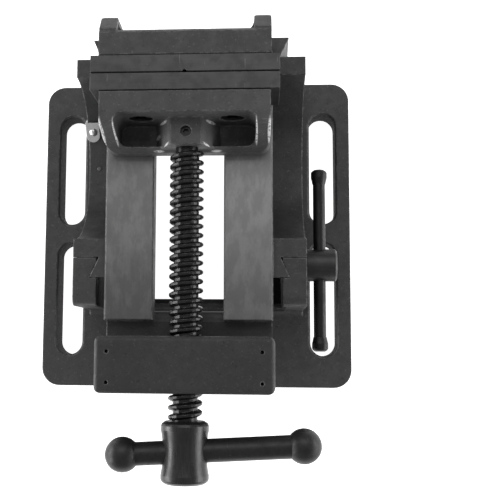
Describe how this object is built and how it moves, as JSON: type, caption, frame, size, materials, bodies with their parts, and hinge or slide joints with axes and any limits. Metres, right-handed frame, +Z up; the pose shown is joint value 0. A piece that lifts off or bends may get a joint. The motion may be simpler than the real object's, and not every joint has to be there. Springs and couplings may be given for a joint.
{
  "type": "tilting machine vise",
  "caption": "Machine vise on a half-round cradle that tilts from level to upright, with a slotted base, a screw with a T-handle and a side clamp.",
  "frame": {"origin": "middle of the outline seen from above, at the underside of the base plate", "axes": "+Z up, the screw along Y with its handle towards -Y, the side clamp at +X"},
  "size_m": [0.192, 0.251, 0.121],
  "materials": {
    "base_casting": "satin",
    "bed_casting": "satin",
    "jaw_casting": "satin",
    "jaw_plate_steel": "satin",
    "keeper_steel": "satin",
    "fastener_steel": "satin",
    "screw_steel": "gloss",
    "handle_steel": "satin",
    "clamp_steel": "satin",
    "pad_brass": "satin",
    "pointer_aluminium": "satin"
  },
  "bodies": {
    "base_body": {"base": "base_casting", "clamp_pad": "pad_brass"},
    "bed": {"vise_body": "bed_casting", "fixed_jaw_plate": "jaw_plate_steel", "fixed_plate_screws": "fastener_steel", "scale_pointer": "pointer_aluminium", "pointer_screw": "pointer_aluminium", "tilt_stop_pin": "pointer_aluminium"},
    "jaw": {"movable_jaw": "jaw_casting", "movable_jaw_plate": "jaw_plate_steel", "movable_plate_screws": "fastener_steel", "keeper_plate": "keeper_steel", "keeper_screws": "fastener_steel", "jaw_set_screw": "fastener_steel"},
    "screw": {"lead_screw": "screw_steel", "handle_hub": "handle_steel"},
    "handle": {"handle_bar": "handle_steel", "handle_ball_left": "handle_steel", "handle_ball_right": "handle_steel"},
    "clamp": {"clamp_screw": "clamp_steel"},
    "clamp_handle": {"clamp_bar": "clamp_steel", "clamp_knob_rear": "clamp_steel", "clamp_knob_front": "clamp_steel"}
  },
  "joints": [
    {"name": "cradle_tilt", "type": "hinge", "parent": "base_body", "child": "bed", "pos_m": [0, 0.0545, 0.0773], "axis": [-1, 0, 0], "range_deg": [0, 90]},
    {"name": "jaw_slide", "type": "slide", "parent": "bed", "child": "jaw", "axis": [0, -1, 0], "range_m": [0, 0.09]},
    {"name": "screw_spin", "type": "hinge", "parent": "jaw", "child": "screw", "pos_m": [0, 0.0545, 0.0976], "axis": [0, -1, 0], "range_deg": [0, 6481]},
    {"name": "handle_slide", "type": "slide", "parent": "screw", "child": "handle", "axis": [0.9978, 0.0558, -0.0348], "range_m": [-0.0436, 0.0136]},
    {"name": "clamp_turn", "type": "hinge", "parent": "base_body", "child": "clamp", "pos_m": [0.0743, -0.0063, 0.059], "axis": [1, 0, 0], "range_deg": [-38, 38]},
    {"name": "clamp_bar_slide", "type": "slide", "parent": "clamp", "child": "clamp_handle", "axis": [0, 1, 0], "range_m": [-0.037, 0.031]}
  ],
  "couplings": [
    {"joint": "screw_spin", "follows": "jaw_slide", "rad_per_m": 1256.6}
  ]
}
